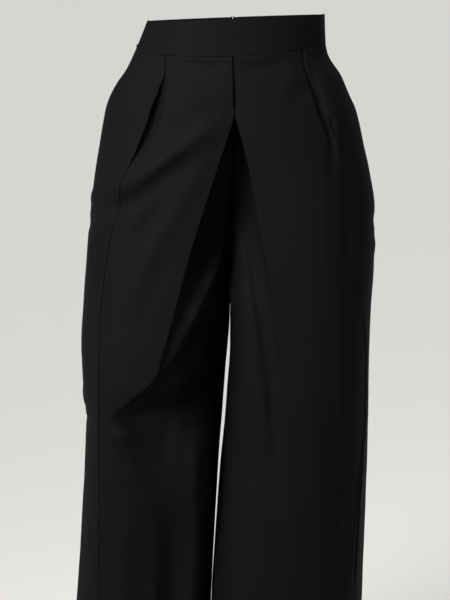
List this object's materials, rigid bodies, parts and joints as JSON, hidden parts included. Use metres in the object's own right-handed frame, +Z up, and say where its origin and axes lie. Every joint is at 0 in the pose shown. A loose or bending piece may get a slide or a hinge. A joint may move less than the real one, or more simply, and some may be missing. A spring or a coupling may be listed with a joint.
{
  "type": "palazzo pants, worn, high waist with wide legs",
  "caption": "High-waisted palazzo pants in their worn, hollow shape: contoured waistband, a deep inverted pleat at the centre front, a pleat at each hip, wide legs and a back zip.",
  "frame": {"origin": "middle of the waist ring, at half the height of the waistband, where the wearer's waist holds the garment", "axes": "+Z up; the front faces -Y; the wearer's left leg is at +X"},
  "size_m": [0.4424, 0.2992, 1.051],
  "materials": {
    "black_crepe": "matt fine crepe",
    "black_tape": "woven zip tape",
    "black_metal": "satin black"
  },
  "bodies": {
    "garment": {"front_right": "black_crepe", "front_left": "black_crepe", "back_right": "black_crepe", "back_left": "black_crepe", "waistband_front": "black_crepe", "waistband_back_right": "black_crepe", "waistband_back_left": "black_crepe", "zip_tape_right": "black_tape", "zip_tape_left": "black_tape", "zip_slider": "black_metal"},
    "pull_tab": {"zip_pull": "black_metal"}
  },
  "joints": [
    {"name": "pull_tab_hinge", "type": "hinge", "parent": "garment", "child": "pull_tab", "pos_m": [-0.0027, 0.0918, 0.012], "axis": [1, 0, 0], "range_deg": [0, 165]}
  ]
}
